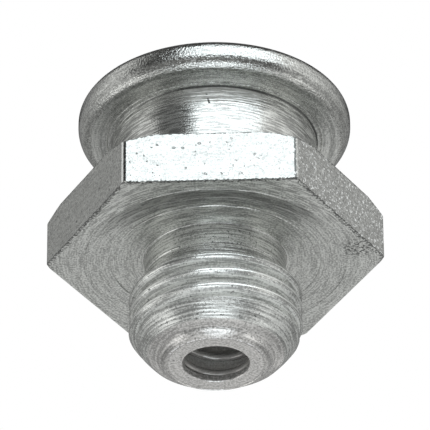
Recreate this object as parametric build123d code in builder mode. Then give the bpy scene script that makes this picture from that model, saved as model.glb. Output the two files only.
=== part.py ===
from build123d import *
import os
from math import radians, sin, sqrt, tan

# Flat-head grease nipple, M10x1, in millimetres.
# +Z runs up the axis through the flat head. The origin is on the axis, on the
# underside of the hexagon, which seats on the machine when the thread is home.

# Thread end
thread_diameter = 10.0
undercut_radius = 4.1
undercut_corner = 0.1
undercut_foot_z = -1.98
thread_start_z = -2.5
thread_end_z = -4.9
lead_radius = 3.93
lead_end_z = -6.3
lip_root_radius = 3.4
lip_root_z = -6.52
lip_face_radius = 2.85
tip_z = -7.0

# Hexagon
across_flats = 17.0
hexagon_height = 3.2
hexagon_edge_break = 0.3
corner_chamfer_angle = 30.0
head_side_chamfer_radius = 9.05
thread_side_chamfer_radius = 9.6

# Neck and flat head
neck_radius = 6.0
head_radius = 8.0
head_top_z = 10.2
head_top_rounding = 0.7
head_underside_z = 8.2
head_underside_rise = 0.1
head_lower_rounding = 0.9

# Grease way through the middle
bore_radius = 2.5
outlet_radius = 1.92
lip_thickness = 0.4
inlet_radius = 1.25
inlet_depth = 0.7
inlet_chamfer = 0.2
seat_angle = 45.0

# Check ball and its spring
ball_radius = 2.25
ball_seat_clearance = 0.02
ball_spring_clearance = 0.02
wire_radius = 0.25
coil_radius = 2.15
active_turns = 11
end_coil_angle = 190.0
coil_start_angle = 90.0
spring_lip_clearance = 0.01

thread_radius = thread_diameter / 2
lip_top_z = tip_z + lip_thickness
seat_top_z = head_top_z - inlet_depth
seat_apex_z = seat_top_z + inlet_radius / tan(radians(seat_angle))
seat_foot_z = seat_apex_z - bore_radius / tan(radians(seat_angle))
ball_z = seat_apex_z - (ball_radius + ball_seat_clearance) / sin(radians(seat_angle))
first_coil_z = lip_top_z + wire_radius + spring_lip_clearance
ball_to_coil = ball_radius + wire_radius + ball_spring_clearance
last_coil_z = ball_z - sqrt(ball_to_coil**2 - coil_radius**2)
coil_pitch = (last_coil_z - first_coil_z) / active_turns

os.makedirs("parts", exist_ok=True)


def corner_cut_z(chamfer_radius, radius):
    """How far the 30 degree corner chamfer has dropped at a radius."""
    return (radius - chamfer_radius) * tan(radians(corner_chamfer_angle))


# Body: one turned piece of hexagon bar, from the flat head to the crimped lip.
blank_radius = across_flats / sqrt(3) + 0.5

with BuildPart() as body:
    # The hexagon, with its six upright edges lightly broken.
    with BuildSketch(Plane.XY):
        RegularPolygon(across_flats / 2, 6, major_radius=False)
    extrude(amount=hexagon_height)
    fillet(body.edges().filter_by(Axis.Z), hexagon_edge_break)

    # Both faces are turned down at the corners of the bar.
    with BuildSketch(Plane.XZ):
        with BuildLine():
            Polyline(
                (0, 0),
                (thread_side_chamfer_radius, 0),
                (blank_radius, corner_cut_z(thread_side_chamfer_radius, blank_radius)),
                (
                    blank_radius,
                    hexagon_height - corner_cut_z(head_side_chamfer_radius, blank_radius),
                ),
                (head_side_chamfer_radius, hexagon_height),
                (0, hexagon_height),
                close=True,
            )
        make_face()
    revolve(axis=Axis.Z, mode=Mode.INTERSECT)

    # Neck and flat head: a disc with rounded edges and a slightly coned underside.
    with BuildSketch(Plane.XZ):
        with BuildLine():
            rim_low_z = head_underside_z + head_underside_rise
            rim_low_x = head_radius - head_lower_rounding
            rim_high_x = head_radius - head_top_rounding
            Polyline(
                (0, hexagon_height / 2),
                (neck_radius, hexagon_height / 2),
                (neck_radius, head_underside_z),
                (rim_low_x, rim_low_z),
            )
            CenterArc((rim_low_x, rim_low_z + head_lower_rounding), head_lower_rounding, -90, 90)
            Line(
                (head_radius, rim_low_z + head_lower_rounding),
                (head_radius, head_top_z - head_top_rounding),
            )
            CenterArc((rim_high_x, head_top_z - head_top_rounding), head_top_rounding, 0, 90)
            Polyline((rim_high_x, head_top_z), (0, head_top_z), (0, hexagon_height / 2))
        make_face()
    revolve(axis=Axis.Z)

    # Thread end: undercut under the seat, shank at the thread's outer diameter,
    # lead-in chamfer, a low shoulder and the lip that is rolled in over the spring.
    with BuildSketch(Plane.XZ):
        with BuildLine():
            corner_x = undercut_radius + undercut_corner
            Line((0, hexagon_height / 2), (corner_x, hexagon_height / 2))
            Line((corner_x, hexagon_height / 2), (corner_x, 0))
            CenterArc((corner_x, -undercut_corner), undercut_corner, 90, 90)
            Polyline(
                (undercut_radius, -undercut_corner),
                (undercut_radius, undercut_foot_z),
                (thread_radius, thread_start_z),
                (thread_radius, thread_end_z),
                (lead_radius, lead_end_z),
                (lip_root_radius, lip_root_z),
            )
            RadiusArc(
                (lip_root_radius, lip_root_z),
                (lip_face_radius, tip_z),
                lip_root_radius - lip_face_radius,
            )
            Polyline((lip_face_radius, tip_z), (0, tip_z), (0, hexagon_height / 2))
        make_face()
    revolve(axis=Axis.Z)

    # Grease way: inlet in the head, coned ball seat, bore and the crimped outlet.
    with BuildSketch(Plane.XZ):
        with BuildLine():
            Polyline(
                (0, tip_z - 1),
                (outlet_radius, tip_z - 1),
                (outlet_radius, lip_top_z),
                (bore_radius, lip_top_z),
                (bore_radius, seat_foot_z),
                (inlet_radius, seat_top_z),
                (inlet_radius, head_top_z - inlet_chamfer),
                (inlet_radius + inlet_chamfer, head_top_z),
                (inlet_radius + inlet_chamfer, head_top_z + 1),
                (0, head_top_z + 1),
                close=True,
            )
        make_face()
    revolve(axis=Axis.Z, mode=Mode.SUBTRACT)

# Check ball, just under its seat in the head.
with BuildPart(Plane.XY.offset(ball_z)) as check_ball:
    Sphere(ball_radius)

# Valve spring: a right-hand compression spring from the crimped lip to the ball,
# with both end coils closed flat. It is wound from the +X side, then turned.
with BuildPart() as coils:
    with BuildSketch(Plane.XZ):
        with Locations((coil_radius, first_coil_z)):
            Circle(wire_radius)
    revolve(axis=Axis.Z, revolution_arc=-end_coil_angle)

    with BuildLine():
        Helix(coil_pitch, coil_pitch * active_turns, coil_radius, center=(0, 0, first_coil_z))
    with BuildSketch(Plane.XZ):
        with Locations((coil_radius, first_coil_z)):
            Circle(wire_radius)
    sweep(is_frenet=True)

    with BuildSketch(Plane.XZ):
        with Locations((coil_radius, last_coil_z)):
            Circle(wire_radius)
    revolve(axis=Axis.Z, revolution_arc=end_coil_angle)

with BuildPart() as spring:
    add(coils.part, rotation=(0, 0, coil_start_angle))

for piece, name in ((body, "body"), (check_ball, "check_ball"), (spring, "spring")):
    piece.part.label = name
    export_step(piece.part, f"parts/{name}.step")
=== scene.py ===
from math import atan2, cos, hypot, pi, radians, sin, sqrt, tan
from typing import NamedTuple

import bmesh
import bpy
from bpy.props import FloatProperty, FloatVectorProperty, IntProperty, PointerProperty
from mathutils import Matrix, Vector


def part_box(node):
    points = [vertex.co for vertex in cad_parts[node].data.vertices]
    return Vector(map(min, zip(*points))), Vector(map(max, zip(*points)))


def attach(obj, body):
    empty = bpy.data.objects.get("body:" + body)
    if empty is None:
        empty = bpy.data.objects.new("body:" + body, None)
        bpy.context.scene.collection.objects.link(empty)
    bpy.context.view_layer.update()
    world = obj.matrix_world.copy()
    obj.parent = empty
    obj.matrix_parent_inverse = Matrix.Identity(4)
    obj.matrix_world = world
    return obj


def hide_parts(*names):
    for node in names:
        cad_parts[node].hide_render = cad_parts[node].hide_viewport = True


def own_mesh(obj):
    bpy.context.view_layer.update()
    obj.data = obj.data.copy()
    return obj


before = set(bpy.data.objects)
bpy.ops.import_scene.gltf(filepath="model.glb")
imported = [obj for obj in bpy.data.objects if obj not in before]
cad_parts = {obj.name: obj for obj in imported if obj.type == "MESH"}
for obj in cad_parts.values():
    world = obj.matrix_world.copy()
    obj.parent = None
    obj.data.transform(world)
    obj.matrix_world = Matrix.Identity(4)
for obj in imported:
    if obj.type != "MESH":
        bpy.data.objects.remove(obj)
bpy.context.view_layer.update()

bl_info = {
    "name": "Flat-Head Grease Nipple",
    "version": (1, 0, 0),
    "blender": (4, 5, 0),
    "location": "3D View > Sidebar > Grease Nipple",
    "description": "Dresses the M10x1 flat-head grease nipple and sets its studio",
    "category": "Object",
}

MM = 0.001
MICRON = 1e-6

# Sizes of the turned body, as in the solid model.
HEAD_TOP = 10.2 * MM
HEAD_RADIUS = 8.0 * MM
HEAD_TOP_ROUNDING = 0.7 * MM
HEAD_LOWER_ROUNDING = 0.9 * MM
HEAD_UNDERSIDE = 8.2 * MM
HEAD_UNDERSIDE_RISE = 0.1 * MM
NECK_RADIUS = 6.0 * MM
HEXAGON_HEIGHT = 3.2 * MM
FLAT_DISTANCE = 8.5 * MM
HEAD_SIDE_CHAMFER_RADIUS = 9.05 * MM
THREAD_SIDE_CHAMFER_RADIUS = 9.6 * MM
BLANK_RADIUS = 10.3 * MM
CORNER_ROUNDING = 0.35 * MM
CORNER_CHAMFER_SLOPE = tan(radians(30))
UNDERCUT_RADIUS = 4.1 * MM
UNDERCUT_CORNER = 0.1 * MM
UNDERCUT_FOOT = -1.98 * MM
THREAD_RADIUS = 5.0 * MM
THREAD_START = -2.5 * MM
THREAD_END = -4.9 * MM
LEAD_RADIUS = 3.93 * MM
LEAD_END = -6.3 * MM
LIP_ROOT = (3.4 * MM, -6.52 * MM)
LIP_FACE_RADIUS = 2.85 * MM
TIP = -7.0 * MM
LIP_THICKNESS = 0.4 * MM
LIP_TOP = TIP + LIP_THICKNESS
OUTLET_RADIUS = 1.92 * MM
BORE_RADIUS = 2.5 * MM
SEAT_FOOT = 8.25 * MM
INLET_RADIUS = 1.25 * MM
INLET_DEPTH = 0.7 * MM
INLET_CHAMFER = 0.2 * MM

# Sizes of the valve.
BALL_RADIUS = 2.25 * MM
COIL_RADIUS = 2.15 * MM
WIRE_RADIUS = 0.25 * MM
ACTIVE_TURNS = 11
END_COIL_ANGLE = radians(190)
COIL_START_ANGLE = radians(90)

# Fine forms that the solid model leaves out.
NECK_FILLET = 0.1 * MM
UNDERSIDE_RING = (6.29 * MM, 0.10 * MM, 0.03 * MM)  # radius, width, depth
NECK_RINGS = (7.96 * MM, 7.69 * MM, 7.46 * MM, 7.33 * MM, 7.15 * MM)  # heights
NECK_RING_CUT = (0.08 * MM, 0.025 * MM)  # width, depth
NICK = (-0.14 * MM, 7.16 * MM, 7.62 * MM)  # across, height of its line, height of its dot
NICK_SLANT = 0.25
SEAT_GROOVES = (  # radius, width, depth
    (7.60 * MM, 0.11 * MM, 0.020 * MM),
    (6.80 * MM, 0.09 * MM, 0.012 * MM),
    (5.96 * MM, 0.30 * MM, 0.035 * MM),
    (4.90 * MM, 0.09 * MM, 0.012 * MM),
)
SEAT_GROOVE_SIDE = 0.035 * MM
# Painted shade: a darker ring on the front of the seat, where it reflects the threaded stem.
SEAT_PAINTED_SHADE_RING = (6.15 * MM, 7.55 * MM)  # inner and outer radius
DENTS = (8.3 * MM, -1.1 * MM, 1.4 * MM)  # x, y, reach
UNDERCUT_RING = -1.33 * MM
UNDERCUT_RING_CUT = (0.09 * MM, 0.05 * MM)  # width, depth
LEAD_SLOPE = (THREAD_RADIUS - LEAD_RADIUS) / (THREAD_END - LEAD_END)
LEAD_CROWN = 0.045 * MM
LIP_CROWN = 0.035 * MM
LIP_BURR = 0.035 * MM
# Radii of the painted shade ring on the lip's face, of its painted highlight edge, and of the
# painted shade crescents on the lip's sides.
LIP_RING_RADIUS = 2.76 * MM
LIP_EDGE_RADIUS = 2.86 * MM
CRESCENT_RADIUS = 3.06 * MM
CREST_SHARE = 1 / 8  # width of a crest, as a share of the pitch
FLANK_TOP_SLOPE = 1.0
FLANK_SLOPE_GAIN = 1.4
ROOT_ROUNDING = 0.07 * MM

# How finely the meshes are made.
TOP_ROUNDING_STEPS = 12
LOWER_ROUNDING_STEPS = 16
NECK_FILLET_STEPS = 4
UNDERCUT_CORNER_STEPS = 5
LIP_STEPS = 8
CORNER_FACETS = (-24, -12, 0, 12, 24)  # degrees from the middle of a corner
WIRE_SEGMENTS = 20
TURN_STEPS = 72
END_COIL_STEPS = 40
BALL_SUBDIVISIONS = 5
CARD_ROWS = 10
CARD_STEPS = 16
CUT_TOLERANCE = 1e-8
BODY_SHARP_ANGLE = radians(24)  # edges turned by more than this are shaded sharp
SPRING_SHARP_ANGLE = radians(50)

# Limits that tell the parts of the body's mesh apart.
BLANK_RING = FLAT_DISTANCE - 0.2 * MM  # the hexagon is cut outside this radius
SHANK_INSIDE = 0.9 * UNDERCUT_RADIUS
BORE_OUTSIDE = 1.02 * BORE_RADIUS
LEAST_FLAT_AREA = 4.0 * MM**2

# What the finishes share.
EVEN_NOISE = (0.3, 0.7)  # the part of a noise that is stretched over 0 to 1
DARK_TONE = 0.62
LIGHT_TONE = 1.36
BROAD_MARK_WIDTH = 2.5  # in widths of the fine tool marks
BROAD_MARK_REACH = 6.0 * MM
BROAD_MARK_SHARE = 0.15
BROAD_MARK_RISE = 0.3  # in rises of the fine tool marks
GRAIN_ROUGHNESS = 0.10
PIT_EDGE = 0.05
PIT_SHARE = 0.8
PIT_DEPTH = 12.0  # micrometres

# Places of the body's finishes in its material slots.
HEAD, NECK, SEAT, STEM, TIP_END, SIDES, BORE = range(7)


class NippleBodySettings(bpy.types.PropertyGroup):
    """Sizes of the turned and threaded body."""

    steps: IntProperty(
        name="Steps",
        description="Faces round the axis",
        default=256,
        min=48,
    )
    pitch: FloatProperty(
        name="Thread Pitch",
        description="Rise of the thread in one turn",
        default=1.0 * MM,
        unit="LENGTH",
    )
    thread_depth: FloatProperty(
        name="Thread Depth",
        description="From the crest down to the root",
        default=0.61 * MM,
        unit="LENGTH",
    )
    thread_row: FloatProperty(
        name="Thread Row",
        description="Height of one row of faces on the thread",
        default=0.025 * MM,
        unit="LENGTH",
    )
    crest_angle: FloatProperty(
        name="Crest Angle",
        description="Where a crest passes the crest height",
        default=radians(-88.25),
        subtype="ANGLE",
    )
    crest_height: FloatProperty(
        name="Crest Height",
        description="Height of a crest at the crest angle",
        default=-3.68 * MM,
        unit="LENGTH",
    )
    edge_break: FloatProperty(
        name="Edge Break",
        description="Size of the break on turned edges",
        default=0.04 * MM,
        unit="LENGTH",
    )
    feed: FloatProperty(
        name="Feed",
        description="Width of one feed mark of the turning tool",
        default=0.24 * MM,
        unit="LENGTH",
    )
    feed_depth: FloatProperty(
        name="Feed Depth",
        description="Depth of a feed mark on the lead-in chamfer",
        default=0.0025 * MM,
        unit="LENGTH",
    )


class NippleFinishSettings(bpy.types.PropertyGroup):
    """Colours of the metals."""

    zinc: FloatVectorProperty(
        name="Zinc",
        description="Colour of the clean zinc plating",
        default=(0.622, 0.632, 0.605),
        subtype="COLOR",
    )
    warm_zinc: FloatVectorProperty(
        name="Warm Zinc",
        description="Colour of the thinner plating on the tip",
        default=(0.665, 0.655, 0.63),
        subtype="COLOR",
    )
    zinc_pit: FloatVectorProperty(
        name="Zinc Pit",
        description="Colour in the pits and broken edges of the plating",
        default=(0.10, 0.105, 0.10),
        subtype="COLOR",
    )
    # Painted shade: this dark colour stands in for shade in corners and for darker reflections; it
    # is also the colour of torn plating, dents and the nick.
    painted_shade_and_damage: FloatVectorProperty(
        name="Dark Corner",
        description="Colour of the plating in corners and nicks",
        default=(0.03, 0.032, 0.03),
        subtype="COLOR",
    )
    bore: FloatVectorProperty(
        name="Bore",
        description="Colour of the dull, oily bore",
        default=(0.80, 0.79, 0.75),
        subtype="COLOR",
    )
    spring_wire: FloatVectorProperty(
        name="Spring Wire",
        description="Colour of the drawn spring wire",
        default=(0.42, 0.41, 0.39),
        subtype="COLOR",
    )
    ball_steel: FloatVectorProperty(
        name="Ball Steel",
        description="Colour of the polished check ball",
        default=(0.62, 0.62, 0.61),
        subtype="COLOR",
    )


class NippleStageSettings(bpy.types.PropertyGroup):
    """Camera and studio."""

    azimuth: FloatProperty(
        name="Azimuth",
        description="Turn of the camera round the axis",
        default=radians(1.75),
        subtype="ANGLE",
    )
    elevation: FloatProperty(
        name="Elevation",
        description="Height of the camera above the horizon",
        default=radians(-32.65),
        subtype="ANGLE",
    )
    roll: FloatProperty(
        name="Roll",
        description="Turn of the camera about its own view line",
        default=radians(-0.43),
        subtype="ANGLE",
    )
    distance: FloatProperty(
        name="Distance",
        description="From the camera to the origin",
        default=0.28,
        unit="LENGTH",
    )
    lens: FloatProperty(
        name="Lens",
        description="Focal length in millimetres",
        default=405.3,
    )
    aim_up: FloatProperty(
        name="Aim Up",
        description="How far above the origin the camera looks",
        default=2.678 * MM,
        unit="LENGTH",
    )
    floor_height: FloatProperty(
        name="Floor Height",
        description="Height of the floor, well below the fitting",
        default=-0.6,
        unit="LENGTH",
    )
    floor_tone: FloatProperty(
        name="Floor Tone",
        description="How light the pale floor is",
        default=0.86,
        subtype="FACTOR",
    )


def scene_settings():
    """The three groups of settings of this scene."""
    scene = bpy.context.scene
    return scene.nipple_body, scene.nipple_finish, scene.nipple_stage


# ---------------------------------------------------------------- shader maths


class Value:
    """A shader socket whose Python operators add Math nodes."""

    def __init__(self, tree, socket):
        self.tree = tree
        self.socket = socket

    def math(self, operation, *others):
        """A Math node on this value and up to two more."""
        return math_node(self.tree, operation, (self, *others))

    def __add__(self, other):
        return self.math("ADD", other)

    def __radd__(self, other):
        return self.math("ADD", other)

    def __sub__(self, other):
        return self.math("SUBTRACT", other)

    def __rsub__(self, other):
        return math_node(self.tree, "SUBTRACT", (other, self))

    def __mul__(self, other):
        return self.math("MULTIPLY", other)

    def __rmul__(self, other):
        return self.math("MULTIPLY", other)

    def __truediv__(self, other):
        return self.math("DIVIDE", other)

    def __rtruediv__(self, other):
        return math_node(self.tree, "DIVIDE", (other, self))

    def between(self, low, high):
        """0 at low and below, 1 at high and above, smooth in between."""
        made = self.tree.nodes.new("ShaderNodeMapRange")
        made.interpolation_type = "SMOOTHSTEP"
        plug(self.tree, made.inputs["Value"], self)
        made.inputs["From Min"].default_value = low
        made.inputs["From Max"].default_value = high
        return Value(self.tree, made.outputs["Result"])

    def near(self, middle, full, none):
        """1 within full of middle, 0 beyond none from it, smooth in between."""
        return (self - middle).math("ABSOLUTE").between(none, full)


def plug(tree, socket, given):
    """Links a Value to a socket, or sets the socket to a plain number or colour."""
    if isinstance(given, Value):
        tree.links.new(given.socket, socket)
    else:
        socket.default_value = given


def math_node(tree, operation, given):
    """The result of a Math node on one, two or three numbers or Values."""
    made = tree.nodes.new("ShaderNodeMath")
    made.operation = operation
    for socket, one in zip(made.inputs, given):
        plug(tree, socket, one)
    return Value(tree, made.outputs[0])


class Place(NamedTuple):
    """The shaded place in object coordinates: its vector, X, Y, Z and radius."""

    vector: Value
    x: Value
    y: Value
    z: Value
    radius: Value


class Finish:
    """One node tree, built node by node."""

    def __init__(self, tree):
        self.tree = tree
        tree.nodes.clear()

    def node(self, kind, settings=None, sockets=None, output=0):
        """A node of a kind, with its settings made first and then its sockets."""
        made = self.tree.nodes.new(kind)
        for name, given in (settings or {}).items():
            setattr(made, name, given)
        for name, given in (sockets or {}).items():
            plug(self.tree, made.inputs[name], given)
        return Value(self.tree, made.outputs[output]) if len(made.outputs) else made

    def mix(self, factor, first, second):
        """A colour that goes from first to second as factor goes from 0 to 1."""
        return self.node(
            "ShaderNodeMix",
            {"data_type": "RGBA"},
            {0: factor, 6: first, 7: second},
            output=2,
        )

    def place(self):
        """The shaded place, with its parts and its distance from the axis."""
        here = self.node("ShaderNodeTexCoord", output="Object")
        x, y, z = [
            self.node("ShaderNodeSeparateXYZ", sockets={0: here}, output=axis) for axis in "XYZ"
        ]
        return Place(here, x, y, z, (x * x + y * y).math("SQRT"))

    def grain(self, at, size, detail=2.0):
        """Even noise whose spots are about size across."""
        return self.node(
            "ShaderNodeTexNoise",
            {"noise_dimensions": "3D"},
            {"Vector": at.vector, "Scale": 1 / size, "Detail": detail, "Roughness": 0.55},
        )

    def ragged(self, at):
        """Noise that makes an edge ragged."""
        return self.grain(at, 0.17 * MM, 1.0).between(0.35, 0.65)

    def tool_marks(self, at, width, reach, detail=2.0):
        """Noise drawn out round the axis: lines about width wide and reach long."""
        across = self.node(
            "ShaderNodeCombineXYZ",
            sockets={"X": at.radius / width, "Y": at.z / width, "Z": at.x / reach},
        )
        return self.node(
            "ShaderNodeTexNoise",
            {"noise_dimensions": "4D"},
            {"Vector": across, "W": at.y / reach, "Scale": 1.0, "Detail": detail},
        )

    def bump(self, height):
        """The normal of a surface raised by height, in micrometres."""
        sockets = {"Height": height, "Distance": MICRON, "Strength": 1.0}
        return self.node("ShaderNodeBump", sockets=sockets)

    def metal(self, colour, roughness, normal, metallic):
        """The shader of a bare or plated metal, and the tree's output."""
        sockets = {
            "Base Color": colour,
            "Roughness": roughness,
            "Normal": normal,
            "Metallic": metallic,
        }
        surface = self.node("ShaderNodeBsdfPrincipled", sockets=sockets)
        self.node("ShaderNodeOutputMaterial", sockets={"Surface": surface})


def solid(colour):
    """A colour with full alpha, for a colour socket."""
    return (*colour, 1.0)


def new_material(name):
    """A material and the Finish that fills its tree."""
    material = bpy.data.materials.new(name)
    material.use_nodes = True
    return material, Finish(material.node_tree)


def toned(colour, share):
    """A colour made darker or lighter, with full alpha."""
    return (*(min(1.0, part * share) for part in colour), 1.0)


class Zinc(NamedTuple):
    """How one zinc finish looks: sizes in millimetres and rises in micrometres."""

    roughness: float
    mark_width: float
    mark_reach: float
    grain_size: float
    pit_size: float
    pit_level: float  # noise level at which pits start
    marks: float  # how strongly the tool marks show in the colour
    grains: float  # how strongly the grain shows in the colour
    mark_rise: float
    grain_rise: float
    metallic: float


ZINC = {
    "zinc_head": Zinc(0.10, 0.08, 0.5, 0.12, 0.15, 0.74, 0.40, 0.50, 5.0, 10.0, 1.0),
    "zinc_neck": Zinc(0.17, 0.09, 1.0, 0.11, 0.15, 0.74, 0.95, 0.30, 9.0, 3.0, 0.92),
    "zinc_seat": Zinc(0.34, 0.08, 1.0, 0.12, 0.16, 0.70, 0.55, 0.80, 6.0, 6.0, 0.88),
    "zinc_stem": Zinc(0.20, 0.08, 2.2, 0.13, 0.17, 0.68, 1.15, 0.60, 6.0, 2.0, 0.77),
    "zinc_tip": Zinc(0.18, 0.09, 2.0, 0.12, 0.15, 0.71, 0.15, 0.70, 2.0, 4.0, 0.60),
    "zinc_flat": Zinc(0.30, 0.09, 0.3, 0.12, 0.30, 0.71, 0.25, 0.40, 3.0, 7.0, 1.0),
}


class WearAndPaintedLight(NamedTuple):
    """How some places of a finish differ from the rest of it, as numbers or Values: real wear, and
    painted shade and painted highlights.
    """

    shade: object = 0.0  # share of the dark colour: painted shade, and torn plating, dents and the nick
    bright: object = 0.0  # share of the lighter metal: painted highlights and painted light, on the crests also rubbed plating
    tone: float = 1.5  # how much lighter that metal is
    marks: object = 0.0  # gain of the tool marks in the colour
    streaks: object = 0.0  # gain of the broad tool marks in the colour
    dulling: object = 0.0  # loss of metallic
    roughening: object = 0.0  # gain of roughness


def across_flats(at):
    """Distance of a place from the axis, measured across the nearest flat."""
    nearest = 0.0
    for turned in (30, 90, 150):
        angle = radians(turned)
        along = (at.x * cos(angle) + at.y * sin(angle)).math("ABSOLUTE")
        nearest = along.math("MAXIMUM", nearest)
    return nearest


def past_corner(at):
    """How far a place near a front corner of the hexagon lies towards the front flat."""
    return at.x.math("ABSOLUTE") * -cos(radians(30)) - at.y * sin(radians(30))


def corner_depth(at):
    """How dark the painted shade line in the corner of neck and head is, fading to the left."""
    return at.x.between(-4.5 * MM, -0.5 * MM) * 0.5 + 0.3


def head_wear_and_shade(tree, at):
    """Painted shade in the corner line and on the left of the underside, a streaky underside, and a
    plainly faced top.
    """
    under_head = at.z.between(HEAD_UNDERSIDE + 0.5 * MM, HEAD_UNDERSIDE + 0.4 * MM)
    # Painted shade: a dark line in the corner where the neck meets the head's underside.
    corner = (at.radius - NECK_RADIUS).between(0.09 * MM, 0.06 * MM) * corner_depth(at)
    # Painted shade: the underside made darker on its left.
    painted_left_shade = at.z.between(HEAD_UNDERSIDE + 0.3 * MM, HEAD_UNDERSIDE + 0.1 * MM)
    painted_left_shade = painted_left_shade * at.x.between(-1.5 * MM, -5.0 * MM) * 0.24
    underside = at.z.between(HEAD_UNDERSIDE + 0.16 * MM, HEAD_UNDERSIDE + 0.10 * MM)
    faced = at.z.between(HEAD_TOP - 0.10 * MM, HEAD_TOP - 0.02 * MM)
    return WearAndPaintedLight(
        shade=(corner * under_head).math("MAXIMUM", painted_left_shade),
        streaks=underside * 0.45,
        dulling=underside * 0.08 + faced * 0.35,
        roughening=underside * 0.12 + faced * 0.2,
    )


def neck_wear_and_light(tree, at):
    """Painted shade in the corner line, a dark nick with a dot above it, a painted lighter top
    band, streaky sides.
    """
    # Painted shade: a dark line in the corner at the top of the neck, under the head.
    corner = at.z.between(HEAD_UNDERSIDE - 0.08 * MM, HEAD_UNDERSIDE - 0.05 * MM)
    across, cut, dot = NICK
    slanted = at.x + (at.z - cut) * NICK_SLANT
    line = slanted.near(across, 0.04 * MM, 0.08 * MM)
    length = at.z.near(cut, 0.17 * MM, 0.22 * MM)
    nick = line * length.math("MAXIMUM", at.z.near(dot, 0.04 * MM, 0.08 * MM))
    nick = nick * at.y.between(0.0, -1.0 * MM)
    # Painted light: the front top of the neck made lighter and duller.
    painted_light_band = at.z.between(HEAD_UNDERSIDE - 1.3 * MM, HEAD_UNDERSIDE - 0.8 * MM)
    painted_light_band = painted_light_band * at.x.between(3.4 * MM, 2.4 * MM) * at.x.between(-2.4 * MM, -1.0 * MM)
    left = at.x.between(-1.2 * MM, -2.2 * MM)
    right = at.x.between(2.8 * MM, 3.8 * MM)
    return WearAndPaintedLight(
        shade=(corner * corner_depth(at)).math("MAXIMUM", nick),
        bright=painted_light_band * 0.2,
        tone=1.4,
        marks=left * 0.4 + right * 0.3,
        dulling=painted_light_band * 0.3,
    )


def seat_wear_and_shade(tree, at):
    """Painted shade in a ring on the front of the seat, torn edges at the flats, and small dents.
    """
    inner, outer = SEAT_PAINTED_SHADE_RING
    front = at.y.between(-2.5 * MM, -5.5 * MM)
    # Painted shade: a darker ring on the front of the seat only.
    painted_shade_ring = at.radius.between(inner, inner + 0.1 * MM) * at.radius.between(outer, outer - 0.1 * MM)
    ragged = tree.ragged(at)
    inside = FLAT_DISTANCE - across_flats(at)
    torn = (inside - ragged * (0.30 * MM)).between(-0.01 * MM, -0.07 * MM)
    torn = torn * at.y.between(1.0 * MM, 0.0)
    dent_x, dent_y, dent_reach = DENTS
    from_x, from_y = at.x - dent_x, at.y - dent_y
    away = (from_x * from_x + from_y * from_y).math("SQRT")
    dents = away.between(dent_reach, 0.4 * MM) * ragged.between(0.62, 0.72)
    shade = (painted_shade_ring * front * 0.45).math("MAXIMUM", torn * 0.75).math("MAXIMUM", dents * 0.8)
    head_side = at.z.between(2.0 * MM, 2.5 * MM)
    return WearAndPaintedLight(shade=shade, marks=front * 0.9, dulling=head_side * 0.2)


def flat_wear_and_light(tree, at):
    """Torn edges, painted shade at the corner ridges, a painted highlight strip beside them, and
    painted glints.
    """
    fall = (at.radius - HEAD_SIDE_CHAMFER_RADIUS).math("MAXIMUM", 0.0) * CORNER_CHAMFER_SLOPE
    edge = (HEXAGON_HEIGHT - fall - at.z).math("MINIMUM", at.z)
    ragged = tree.ragged(at)
    torn = (edge + ragged * (0.07 * MM)).between(0.10 * MM, 0.05 * MM)
    past = past_corner(at)
    # Painted shade: a dark line along each front corner ridge, beside the front flat.
    uneven = past + ragged * (0.02 * MM)
    painted_shade_ridge = uneven.between(0.0, 0.02 * MM) * uneven.between(0.15 * MM, 0.13 * MM)
    # Painted glints: bright specks standing in for sparkles of light, mostly towards the right.
    glints = tree.grain(at, 0.15 * MM, 1.0).between(0.61, 0.66)
    glints = glints * at.x.between(-4.0 * MM, 5.0 * MM)
    # Painted highlight: a light strip beside the left front corner, standing in for its reflection.
    painted_highlight_strip = past.between(-0.19 * MM, -0.16 * MM) * past.between(-0.07 * MM, -0.10 * MM)
    bright = (painted_highlight_strip * at.x.between(0.0, -1.0 * MM)).math("MAXIMUM", glints * 0.9)
    return WearAndPaintedLight(
        shade=(torn * 0.85).math("MAXIMUM", painted_shade_ridge * 0.8),
        bright=bright,
        tone=1.6,
        dulling=bright,
    )


def stem_wear_and_highlight(tree, at):
    """Thread crests lightened as rubbed plating and as painted highlight, dull grooves, and a
    slightly duller lead-in.
    """
    # Rubbed plating and painted highlight: the crests of the lower thread made lighter.
    crest_wear_and_highlight = at.radius.between(THREAD_RADIUS - 0.020 * MM, THREAD_RADIUS - 0.008 * MM)
    crest_wear_and_highlight = crest_wear_and_highlight * at.z.between(-2.8 * MM, -3.2 * MM)
    past_thread = (THREAD_END - at.z).math("MAXIMUM", 0.0)
    depth = THREAD_RADIUS - past_thread * LEAD_SLOPE - at.radius
    groove = depth.between(0.04 * MM, 0.22 * MM) * at.z.between(UNDERCUT_FOOT, -2.2 * MM)
    lead = at.z.between(THREAD_END - 0.1 * MM, THREAD_END - 0.4 * MM)
    return WearAndPaintedLight(
        bright=crest_wear_and_highlight * 0.6,
        dulling=groove * 0.46 + lead * 0.09,
        roughening=groove * 0.18 + lead * 0.03,
    )


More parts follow.
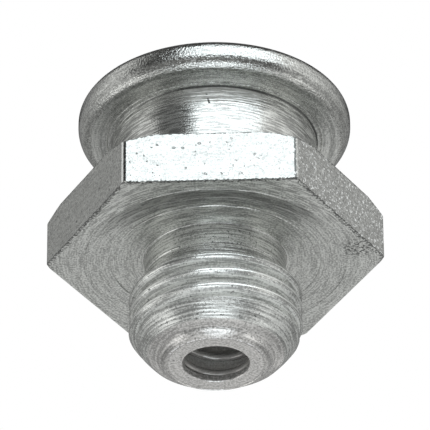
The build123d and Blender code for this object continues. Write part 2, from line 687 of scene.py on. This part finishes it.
def tip_wear_and_light(tree, at):
    """Painted shade in a fine ring on the lip's face and on the lip's sides, and a painted
    highlight on its front edge.
    """
    # Painted shade: a dark fine ring on the lip's face.
    face = at.z.between(TIP + 0.06 * MM, TIP + 0.04 * MM)
    painted_shade_ring = at.radius.near(LIP_RING_RADIUS, 0.02 * MM, 0.05 * MM) * face
    # Painted shade: darker crescents on the sides of the lip.
    sides = at.x.math("ABSOLUTE").between(2.0 * MM, 2.5 * MM) * at.y.between(0.9 * MM, 0.1 * MM)
    painted_shade_crescents = at.radius.near(CRESCENT_RADIUS, 0.05 * MM, 0.13 * MM) * sides
    # Painted highlight: the front of the lip's edge made lighter.
    edge = at.radius.near(LIP_EDGE_RADIUS, 0.03 * MM, 0.07 * MM)
    edge = edge * tree.ragged(at).between(0.4, 0.6) * at.y.between(-0.5 * MM, -1.8 * MM)
    return WearAndPaintedLight(
        shade=(painted_shade_ring * 0.35).math("MAXIMUM", painted_shade_crescents * 0.3),
        bright=edge * 0.8,
        tone=1.6,
        marks=at.z.between(TIP + 0.05 * MM, TIP + 0.12 * MM) * 0.4,
        dulling=edge * 0.4,
    )


WEAR_AND_PAINTED_LIGHT = {
    "zinc_head": head_wear_and_shade,
    "zinc_neck": neck_wear_and_light,
    "zinc_seat": seat_wear_and_shade,
    "zinc_stem": stem_wear_and_highlight,
    "zinc_tip": tip_wear_and_light,
    "zinc_flat": flat_wear_and_light,
}


def plated_zinc(look, name, colour):
    """Zinc plating over turned or drawn steel: tool marks, grain and small pits, with each finish's
    wear and its painted shade and painted highlights.
    """
    zinc = ZINC[name]
    material, tree = new_material(name)
    at = tree.place()
    fine = tree.tool_marks(at, zinc.mark_width * MM, zinc.mark_reach * MM)
    broad = tree.tool_marks(at, BROAD_MARK_WIDTH * zinc.mark_width * MM, BROAD_MARK_REACH, 1.0)
    fine, broad = fine.between(*EVEN_NOISE), broad.between(*EVEN_NOISE)
    grain = tree.grain(at, zinc.grain_size * MM).between(*EVEN_NOISE)
    pits = tree.grain(at, zinc.pit_size * MM, 1.0)
    pits = pits.between(zinc.pit_level, zinc.pit_level + PIT_EDGE)
    wear_and_light = WEAR_AND_PAINTED_LIGHT[name](tree, at)
    level = 0.5 + (fine - 0.5) * (zinc.marks + wear_and_light.marks) + (grain - 0.5) * zinc.grains
    level = level + (broad - 0.5) * (BROAD_MARK_SHARE + wear_and_light.streaks)
    dark, light = toned(colour, DARK_TONE), toned(colour, LIGHT_TONE)
    metal = tree.mix(level.between(0.0, 1.0), dark, light)
    metal = tree.mix(wear_and_light.shade, metal, solid(look.painted_shade_and_damage))
    metal = tree.mix(pits * PIT_SHARE, metal, solid(look.zinc_pit))
    metal = tree.mix(wear_and_light.bright, metal, toned(colour, wear_and_light.tone))
    height = fine * zinc.mark_rise + broad * (BROAD_MARK_RISE * zinc.mark_rise)
    height = height + grain * zinc.grain_rise - pits * PIT_DEPTH
    roughness = zinc.roughness + wear_and_light.roughening + (grain - 0.5) * GRAIN_ROUGHNESS
    tree.metal(metal, roughness, tree.bump(height), zinc.metallic - wear_and_light.dulling)
    return material


def bore_steel(look):
    """The drilled bore, dull with oil and scale."""
    material, tree = new_material("bore_steel")
    at = tree.place()
    grain = tree.grain(at, 0.10 * MM, 3.0).between(*EVEN_NOISE)
    marks = tree.tool_marks(at, 0.10 * MM, 4.0 * MM).between(*EVEN_NOISE)
    metal = tree.mix(grain * 0.6 + marks * 0.4, toned(look.bore, 0.7), toned(look.bore, 1.3))
    tree.metal(metal, 0.5 + marks * 0.1, tree.bump((grain + marks) * 15.0), 0.25)
    return material


def drawn_wire(look):
    """Spring wire: dull steel with faint marks along the wire."""
    material, tree = new_material("spring_wire")
    at = tree.place()
    marks = tree.tool_marks(at, 0.05 * MM, 3.0 * MM).between(*EVEN_NOISE)
    grain = tree.grain(at, 0.10 * MM).between(*EVEN_NOISE)
    dark, light = toned(look.spring_wire, 0.7), toned(look.spring_wire, 1.25)
    metal = tree.mix(marks * 0.5 + grain * 0.5, dark, light)
    tree.metal(metal, 0.10 + grain * 0.06, tree.bump(marks * 5.0), 0.4)
    return material


def polished_ball(look):
    """Hardened ball steel with the faint ring where it meets its seat."""
    material, tree = new_material("ball_steel")
    at = tree.place()
    seat_ring = at.radius.near(BALL_RADIUS * sqrt(0.5), 0.03 * MM, 0.09 * MM)
    colour = tree.mix(seat_ring * 0.5, solid(look.ball_steel), solid(look.zinc_pit))
    grain = tree.grain(at, 0.05 * MM)
    tree.metal(colour, 0.12 + seat_ring * 0.25, tree.bump(grain * 2.0), 1.0)
    return material


# ---------------------------------------------------------------- meshes


def arc(centre, radius, start, end, steps):
    """Points on an arc of the outline, from one angle to another, both ends included."""
    angles = [radians(start + (end - start) * step / steps) for step in range(steps + 1)]
    return [(centre[0] + radius * cos(a), centre[1] + radius * sin(a)) for a in angles]


def run(first, last, steps):
    """Points along a straight stretch of the outline, without its last point."""
    return [
        tuple(a + (b - a) * step / steps for a, b in zip(first, last)) for step in range(steps)
    ]


def ring_groove(radius, height, width, depth):
    """A fine groove turned into an upright wall, from the top down."""
    return [(radius, height + width / 2), (radius - depth, height), (radius, height - width / 2)]


def broken(before, corner, after, size):
    """The two points that break a turned corner by size."""
    points = []
    for other in (before, after):
        length = hypot(other[0] - corner[0], other[1] - corner[1])
        points.append(tuple(c + (o - c) * size / length for c, o in zip(corner, other)))
    return points


def crown(height, share):
    """Rise of a crowned stretch that is height high, at a share of its length."""
    return height * 4 * share * (1 - share)


def lead_in(body):
    """The lead-in chamfer, slightly crowned and with the feed marks of the tool."""
    first, last = (THREAD_RADIUS, THREAD_END), (LEAD_RADIUS, LEAD_END)
    length = hypot(last[0] - first[0], last[1] - first[1])
    outward = ((first[1] - last[1]) / length, (last[0] - first[0]) / length)
    steps = round(length / body.thread_row)
    points = []
    for step, (r, z) in enumerate(run(first, last, steps)):
        share = step / steps
        feed = body.feed_depth * sin(2 * pi * share * length / body.feed)
        lift = crown(LEAD_CROWN, share) + feed * min(1.0, 4 * share)
        points.append((r + outward[0] * lift, z + outward[1] * lift))
    return points


def head_and_neck():
    """The outline from the inlet over the head and down the neck."""
    top_centre = (HEAD_RADIUS - HEAD_TOP_ROUNDING, HEAD_TOP - HEAD_TOP_ROUNDING)
    rim_low = HEAD_UNDERSIDE + HEAD_UNDERSIDE_RISE
    low_centre = (HEAD_RADIUS - HEAD_LOWER_ROUNDING, rim_low + HEAD_LOWER_ROUNDING)
    fillet_centre = (NECK_RADIUS + NECK_FILLET, HEAD_UNDERSIDE - NECK_FILLET)
    points = [(INLET_RADIUS + INLET_CHAMFER, HEAD_TOP)]
    points += arc(top_centre, HEAD_TOP_ROUNDING, 90, 0, TOP_ROUNDING_STEPS)
    points += arc(low_centre, HEAD_LOWER_ROUNDING, 0, -90, LOWER_ROUNDING_STEPS)
    slope = HEAD_UNDERSIDE_RISE / (low_centre[0] - NECK_RADIUS)
    middle, width, deepest = UNDERSIDE_RING
    for radius, depth in ((middle + width / 2, 0), (middle, deepest), (middle - width / 2, 0)):
        points.append((radius, HEAD_UNDERSIDE + slope * (radius - NECK_RADIUS) + depth))
    points += arc(fillet_centre, NECK_FILLET, 90, 180, NECK_FILLET_STEPS)
    for height in NECK_RINGS:
        points += ring_groove(NECK_RADIUS, height, *NECK_RING_CUT)
    return points


def hexagon_blank(size):
    """The outline of the round blank, from the foot of the neck to the undercut."""
    blank_top = HEXAGON_HEIGHT - (BLANK_RADIUS - HEAD_SIDE_CHAMFER_RADIUS) * CORNER_CHAMFER_SLOPE
    blank_foot = (BLANK_RADIUS - THREAD_SIDE_CHAMFER_RADIUS) * CORNER_CHAMFER_SLOPE
    neck_foot = (NECK_RADIUS, HEXAGON_HEIGHT)
    head_side = (HEAD_SIDE_CHAMFER_RADIUS, HEXAGON_HEIGHT)
    thread_side = (THREAD_SIDE_CHAMFER_RADIUS, 0.0)
    points = [neck_foot, (BLANK_RING, HEXAGON_HEIGHT)]
    points += broken(neck_foot, head_side, (BLANK_RADIUS, blank_top), size)
    points += [(BLANK_RADIUS, blank_top), (BLANK_RADIUS, blank_foot)]
    points += broken((BLANK_RADIUS, blank_foot), thread_side, (UNDERCUT_RADIUS, 0.0), size)
    points.append((BLANK_RING, 0.0))
    for radius, width, depth in SEAT_GROOVES:
        points += [
            (radius + width / 2, 0.0),
            (radius + width / 2 - SEAT_GROOVE_SIDE, depth),
            (radius - width / 2 + SEAT_GROOVE_SIDE, depth),
            (radius - width / 2, 0.0),
        ]
    return points


def thread_end(body):
    """The outline from the undercut down the shank and round the lip to the outlet."""
    size = body.edge_break
    corner_centre = (UNDERCUT_RADIUS + UNDERCUT_CORNER, -UNDERCUT_CORNER)
    points = arc(corner_centre, UNDERCUT_CORNER, 90, 180, UNDERCUT_CORNER_STEPS)
    points += ring_groove(UNDERCUT_RADIUS, UNDERCUT_RING, *UNDERCUT_RING_CUT)
    shank = [
        (UNDERCUT_RADIUS, UNDERCUT_FOOT),
        (THREAD_RADIUS, THREAD_START),
        (THREAD_RADIUS, THREAD_END),
    ]
    for first, last in zip(shank, shank[1:]):
        points += run(first, last, round((first[1] - last[1]) / body.thread_row))
    points += lead_in(body)
    points += broken(points[-1], (LEAD_RADIUS, LEAD_END), LIP_ROOT, size / 2)
    rim = (LIP_FACE_RADIUS, TIP)
    for step, (r, z) in enumerate([*run(LIP_ROOT, rim, LIP_STEPS), rim]):
        lift = crown(LIP_CROWN, step / LIP_STEPS)
        points.append((r + lift, z - lift))
    face = TIP + LIP_BURR
    points.append((LIP_FACE_RADIUS - LIP_BURR, face))
    points += broken((LIP_FACE_RADIUS, face), (OUTLET_RADIUS, face), (OUTLET_RADIUS, LIP_TOP), size)
    return points


def bore_outline():
    """The grease way from the outlet up to the inlet."""
    return [
        (OUTLET_RADIUS, LIP_TOP),
        (BORE_RADIUS, LIP_TOP),
        (BORE_RADIUS, SEAT_FOOT),
        (INLET_RADIUS, HEAD_TOP - INLET_DEPTH),
        (INLET_RADIUS, HEAD_TOP - INLET_CHAMFER),
    ]


def thread_radius_at(body, height, angle):
    """Radius of the bare thread: a flat crest, slightly bellied flanks and a round root."""
    turn = (angle - body.crest_angle) / (2 * pi)
    rise = (height - body.crest_height) / body.pitch - turn
    down = max(0.0, (abs(rise - round(rise)) - CREST_SHARE / 2) * body.pitch)
    depth = down * (FLANK_TOP_SLOPE + FLANK_SLOPE_GAIN * down / body.pitch)
    over = depth - (body.thread_depth - ROOT_ROUNDING)
    if over > 0:
        depth = body.thread_depth - ROOT_ROUNDING / (1 + over / ROOT_ROUNDING)
    return THREAD_RADIUS - depth


def on_shank(place):
    """Whether a place lies on the threaded shank or its lead-in."""
    return LEAD_END < place.z < UNDERCUT_FOOT and place.xy.length > SHANK_INSIDE


def cut_thread(mesh, body):
    """Moves the shank's vertices in to the thread, where the thread lies under the surface."""
    for vertex in mesh.verts:
        if on_shank(vertex.co):
            x, y, z = vertex.co
            radius = hypot(x, y)
            wanted = min(radius, thread_radius_at(body, z, atan2(y, x)))
            vertex.co.x *= wanted / radius
            vertex.co.y *= wanted / radius


def in_blank(part):
    """Whether a vertex, edge or face belongs to the rim of the round blank."""
    ends = [part] if isinstance(part, bmesh.types.BMVert) else part.verts
    return all(end.co.xy.length > BLANK_RING - MICRON for end in ends)


def cut_hexagon(mesh):
    """Cuts the flats and rounded corners on the round blank and closes each cut."""
    corner_radius = (FLAT_DISTANCE - CORNER_ROUNDING) / cos(radians(30))
    planes = [(30, FLAT_DISTANCE)]
    for turned in CORNER_FACETS:
        planes.append((60 + turned, corner_radius * cos(radians(turned)) + CORNER_ROUNDING))
    blank = [part for part in mesh.verts[:] + mesh.edges[:] + mesh.faces[:] if in_blank(part)]
    for turned, distance in planes:
        for side in range(6):
            angle = radians(turned + 60 * side)
            outward = Vector((cos(angle), sin(angle), 0))
            cut = bmesh.ops.bisect_plane(
                mesh,
                geom=blank,
                dist=CUT_TOLERANCE,
                plane_co=outward * distance,
                plane_no=outward,
                clear_outer=True,
            )
            edges = [part for part in cut["geom_cut"] if isinstance(part, bmesh.types.BMEdge)]
            closing = bmesh.ops.contextual_create(mesh, geom=edges)["faces"]
            for face in closing:
                face.material_index = SIDES
            parts = dict.fromkeys(cut["geom"] + cut["geom_cut"] + closing)
            blank = [part for part in parts if part.is_valid]


def finish_mesh(mesh, name, materials):
    """A mesh object at the origin, smooth shaded, from a bmesh."""
    bmesh.ops.recalc_face_normals(mesh, faces=mesh.faces)
    data = bpy.data.meshes.new(name)
    mesh.to_mesh(data)
    mesh.free()
    for material in materials:
        data.materials.append(material)
    data.shade_smooth()
    made = bpy.data.objects.new(name, data)
    bpy.context.scene.collection.objects.link(made)
    return made


def soften_thread(data):
    """Rounds the shading over the thread and keeps it flat on the six flats."""
    for edge in data.edges:
        if all(on_shank(data.vertices[index].co) for index in edge.vertices):
            edge.use_edge_sharp = False
    sides = [face for face in data.polygons if face.material_index == SIDES]
    flats = [face for face in sides if face.area > LEAST_FLAT_AREA]
    bounds = {key for face in flats for key in face.edge_keys}
    for edge in data.edges:
        if edge.key in bounds:
            edge.use_edge_sharp = True


def turned_finish(face):
    """Which of the body's finishes a turned face has."""
    middle = face.calc_center_median()
    in_bore = LIP_TOP - MICRON < middle.z < HEAD_TOP - INLET_CHAMFER
    if in_bore and middle.xy.length < BORE_OUTSIDE:
        return BORE
    if middle.z > HEAD_UNDERSIDE - NECK_FILLET:
        return HEAD
    if middle.z > HEXAGON_HEIGHT + MICRON:
        return NECK
    if middle.z > -MICRON:
        return SEAT
    return STEM if middle.z > LEAD_END else TIP_END


class NIPPLE_OT_turn_body(bpy.types.Operator):
    """Turn, mill and thread the body of the nipple"""

    bl_idname = "nipple.turn_body"
    bl_label = "Turn Body"

    def execute(self, context):
        body, look, _ = scene_settings()
        mesh = bmesh.new()
        outline = head_and_neck() + hexagon_blank(body.edge_break) + thread_end(body)
        corners = [mesh.verts.new((r, 0, z)) for r, z in outline + bore_outline()]
        edges = [mesh.edges.new(pair) for pair in zip(corners, corners[1:] + corners[:1])]
        bmesh.ops.spin(
            mesh,
            geom=corners + edges,
            cent=(0, 0, 0),
            axis=(0, 0, 1),
            angle=2 * pi,
            steps=body.steps,
            use_merge=True,
        )
        for face in mesh.faces:
            face.material_index = turned_finish(face)
        cut_thread(mesh, body)
        cut_hexagon(mesh)
        colours = {"zinc_tip": look.warm_zinc}
        finishes = [plated_zinc(look, name, colours.get(name, look.zinc)) for name in ZINC]
        made = finish_mesh(mesh, "nipple_body", [*finishes, bore_steel(look)])
        made.data.set_sharp_from_angle(angle=BODY_SHARP_ANGLE)
        soften_thread(made.data)
        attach(made, "fitting")
        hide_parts("body")
        return {"FINISHED"}


class NIPPLE_OT_wind_spring(bpy.types.Operator):
    """Wind the valve spring with its two closed end coils"""

    bl_idname = "nipple.wind_spring"
    bl_label = "Wind Spring"

    def execute(self, context):
        _, look, _ = scene_settings()
        lowest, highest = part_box("spring")
        first = lowest.z + WIRE_RADIUS
        rise = highest.z - WIRE_RADIUS - first
        mesh = bmesh.new()
        wire = bmesh.ops.create_circle(mesh, segments=WIRE_SEGMENTS, radius=WIRE_RADIUS)
        bmesh.ops.rotate(mesh, verts=wire["verts"], matrix=Matrix.Rotation(pi / 2, 3, "X"))
        bmesh.ops.translate(mesh, verts=wire["verts"], vec=(COIL_RADIUS, 0, first))
        turn = Matrix.Rotation(COIL_START_ANGLE - END_COIL_ANGLE, 3, "Z")
        bmesh.ops.rotate(mesh, verts=wire["verts"], matrix=turn)
        section = mesh.verts[:] + mesh.edges[:]
        start = mesh.edges[:]
        stretches = [
            (END_COIL_ANGLE, END_COIL_STEPS, 0.0),
            (2 * pi * ACTIVE_TURNS, TURN_STEPS * ACTIVE_TURNS, rise),
            (END_COIL_ANGLE, END_COIL_STEPS, 0.0),
        ]
        for angle, steps, climb in stretches:
            wound = bmesh.ops.spin(
                mesh,
                geom=section,
                cent=(0, 0, 0),
                axis=(0, 0, 1),
                dvec=(0, 0, climb / steps),
                angle=angle,
                steps=steps,
            )
            section = wound["geom_last"]
        end = [part for part in section if isinstance(part, bmesh.types.BMEdge)]
        bmesh.ops.contextual_create(mesh, geom=start)
        bmesh.ops.contextual_create(mesh, geom=end)
        made = finish_mesh(mesh, "valve_spring", [drawn_wire(look)])
        made.data.set_sharp_from_angle(angle=SPRING_SHARP_ANGLE)
        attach(made, "fitting")
        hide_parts("spring")
        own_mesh(made)
        return {"FINISHED"}


class NIPPLE_OT_polish_ball(bpy.types.Operator):
    """Make the polished check ball under its seat"""

    bl_idname = "nipple.polish_ball"
    bl_label = "Polish Ball"

    def execute(self, context):
        _, look, _ = scene_settings()
        lowest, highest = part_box("check_ball")
        mesh = bmesh.new()
        bmesh.ops.create_icosphere(mesh, subdivisions=BALL_SUBDIVISIONS, radius=BALL_RADIUS)
        bmesh.ops.translate(mesh, verts=mesh.verts, vec=(lowest + highest) / 2)
        made = finish_mesh(mesh, "check_ball_polished", [polished_ball(look)])
        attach(made, "ball")
        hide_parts("check_ball")
        return {"FINISHED"}


# ---------------------------------------------------------------- studio

COOL_WHITE = (0.90, 0.955, 1.0, 1.0)
PLAIN_WHITE = (1.0, 1.0, 1.0, 1.0)
COOL_ABOVE = 1.5  # radiance above which a card is cool white
LIGHT_ABOVE = 1.0  # radiance above which a card lights dull surfaces too
WORLD_LIGHT = 0.6
FLOOR_SIZE = 3.0

# Cards round the object: name, azimuths, elevations, radiance and distance.
REFLECTORS = [
    ("key_card", (-22, 52), (8, 57), 2.1, 0.5),
    ("low_card", (-28, 42), (-84, -45), 1.9, 0.27),
    ("low_left_card", (-112, -29), (-84, -50), 0.5, 0.27),
    ("low_right_card", (44, 112), (-84, -50), 0.5, 0.27),
    ("lens_left_card", (-68, -38), (-52, -8), 0.20, 0.33),
    ("lens_card", (-38, 32), (-52, -8), 0.27, 0.33),
    ("lens_right_card", (32, 60), (-52, -8), 0.15, 0.33),
    ("lens_grey_card", (-68, 60), (-8, 8), 0.12, 0.5),
    ("left_dark_card", (-68, -22), (8, 57), 0.09, 0.5),
    ("left_light_card", (-104, -68), (0, 57), 0.69, 0.5),
    ("left_side_card", (-112, -68), (-50, 0), 0.55, 0.38),
    ("left_patch_card", (-112, -70), (-54, -34), 1.35, 0.36),
    ("left_grey_card", (-148, -104), (0, 46), 0.31, 0.5),
    ("left_low_card", (-158, -112), (-60, 0), 0.3, 0.33),
    ("back_grey_card", (148, 212), (-8, 28), 0.26, 0.5),
    ("back_dark_card", (148, 212), (28, 50), 0.04, 0.5),
    ("back_ceiling_card", (104, 256), (46, 57), 0.04, 0.5),
    ("right_grey_card", (126, 148), (0, 46), 0.3, 0.5),
    ("right_soft_card", (106, 126), (0, 46), 0.47, 0.5),
    ("right_low_card", (112, 158), (-60, 0), 0.3, 0.33),
    ("right_bright_card", (52, 68), (8, 57), 1.0, 0.5),
    ("right_light_card", (68, 92), (0, 57), 0.82, 0.5),
    ("right_fading_card", (92, 106), (0, 57), 0.58, 0.5),
    ("right_side_card", (60, 112), (-50, 0), 0.48, 0.38),
    ("right_patch_card", (72, 112), (-54, -36), 1.15, 0.36),
    ("ceiling_card", (0, 360), (57, 89.9), 0.08, 0.5),
]


def direction(azimuth, elevation):
    """The unit vector towards a place round the object, azimuth 0 being in front."""
    across = cos(elevation)
    return Vector((sin(azimuth) * across, -cos(azimuth) * across, sin(elevation)))


def add_reflector(name, azimuths, elevations, radiance, distance):
    """A curved card round the object that only the metal shows; radiance 1 is plain white."""
    mesh = bmesh.new()
    low, high = elevations
    rise = [radians(low + (high - low) * row / CARD_ROWS) for row in range(CARD_ROWS + 1)]
    start = radians(azimuths[0])
    side = [mesh.verts.new(direction(start, angle) * distance) for angle in rise]
    edges = [mesh.edges.new(pair) for pair in zip(side, side[1:])]
    bmesh.ops.spin(
        mesh,
        geom=side + edges,
        cent=(0, 0, 0),
        axis=(0, 0, 1),
        angle=radians(azimuths[1] - azimuths[0]),
        steps=CARD_STEPS,
    )
    material, tree = new_material(name)
    tint = COOL_WHITE if radiance > COOL_ABOVE else PLAIN_WHITE
    surface = tree.node("ShaderNodeEmission", sockets={"Color": tint, "Strength": radiance})
    tree.node("ShaderNodeOutputMaterial", sockets={"Surface": surface})
    made = finish_mesh(mesh, name, [material])
    made.visible_camera = False
    made.visible_shadow = False
    made.visible_diffuse = radiance > LIGHT_ABOVE


def add_floor(height, tone):
    """A plain pale floor."""
    mesh = bmesh.new()
    bmesh.ops.create_grid(mesh, x_segments=1, y_segments=1, size=FLOOR_SIZE)
    bmesh.ops.translate(mesh, verts=mesh.verts, vec=(0, 0, height))
    material, tree = new_material("studio_floor")
    surface = tree.node(
        "ShaderNodeBsdfDiffuse", sockets={"Color": (tone, tone, tone, 1.0), "Roughness": 0.0}
    )
    tree.node("ShaderNodeOutputMaterial", sockets={"Surface": surface})
    made = finish_mesh(mesh, "studio_floor", [material])


def add_world():
    """White to the camera and in reflections, soft and plain as a light."""
    world = bpy.data.worlds.new("studio_world")
    bpy.context.scene.world = world
    world.use_nodes = True
    tree = Finish(world.node_tree)
    camera = tree.node("ShaderNodeLightPath", output="Is Camera Ray")
    glossy = tree.node("ShaderNodeLightPath", output="Is Glossy Ray")
    through = tree.node("ShaderNodeLightPath", output="Is Transmission Ray")
    seen = camera.math("MAXIMUM", glossy).math("MAXIMUM", through)
    strength = WORLD_LIGHT + seen * (1.0 - WORLD_LIGHT)
    light = tree.node(
        "ShaderNodeBackground", sockets={"Color": PLAIN_WHITE, "Strength": strength}
    )
    tree.node("ShaderNodeOutputWorld", sockets={"Surface": light})


def add_camera(stage):
    """The camera, below the seat and looking up past the thread."""
    camera = bpy.data.cameras.new("camera")
    camera.lens = stage.lens
    camera.sensor_width = 36.0
    camera.clip_start = 0.01
    camera.clip_end = 10.0
    made = bpy.data.objects.new("camera", camera)
    back = direction(stage.azimuth, stage.elevation)
    right = Vector((cos(stage.azimuth), sin(stage.azimuth), 0))
    up = back.cross(right)
    made.location = back * stage.distance
    from_aim = made.location - up * stage.aim_up
    aimed = from_aim.normalized().to_track_quat("Z", "Y")
    roll = Matrix.Rotation(stage.roll, 3, "Z").to_quaternion()
    made.rotation_mode = "QUATERNION"
    made.rotation_quaternion = aimed @ roll
    bpy.context.scene.collection.objects.link(made)
    bpy.context.scene.camera = made


class NIPPLE_OT_set_stage(bpy.types.Operator):
    """Set the floor, the lights, the cards and the camera"""

    bl_idname = "nipple.set_stage"
    bl_label = "Set Stage"

    def execute(self, context):
        _, _, stage = scene_settings()
        context.scene.view_settings.view_transform = "Standard"
        add_world()
        add_floor(stage.floor_height, stage.floor_tone)
        add_camera(stage)
        for row in REFLECTORS:
            add_reflector(*row)
        return {"FINISHED"}


class NIPPLE_PT_panel(bpy.types.Panel):
    """The grease nipple's pieces and settings"""

    bl_idname = "NIPPLE_PT_panel"
    bl_label = "Grease Nipple"
    bl_space_type = "VIEW_3D"
    bl_region_type = "UI"
    bl_category = "Grease Nipple"

    def draw(self, context):
        for operator in OPERATORS:
            self.layout.operator(operator.bl_idname)
        for group in scene_settings():
            for name in group.__annotations__:
                self.layout.prop(group, name)


GROUPS = {
    "nipple_body": NippleBodySettings,
    "nipple_finish": NippleFinishSettings,
    "nipple_stage": NippleStageSettings,
}
OPERATORS = [
    NIPPLE_OT_turn_body,
    NIPPLE_OT_wind_spring,
    NIPPLE_OT_polish_ball,
    NIPPLE_OT_set_stage,
]


def register():
    for name, group in GROUPS.items():
        bpy.utils.register_class(group)
        setattr(bpy.types.Scene, name, PointerProperty(type=group))
    for cls in [*OPERATORS, NIPPLE_PT_panel]:
        bpy.utils.register_class(cls)


def unregister():
    for cls in [NIPPLE_PT_panel, *reversed(OPERATORS)]:
        bpy.utils.unregister_class(cls)
    for name, group in GROUPS.items():
        delattr(bpy.types.Scene, name)
        bpy.utils.unregister_class(group)


def main():
    register()
    bpy.ops.nipple.turn_body()
    bpy.ops.nipple.wind_spring()
    bpy.ops.nipple.polish_ball()
    bpy.ops.nipple.set_stage()


if __name__ == "__main__":
    main()
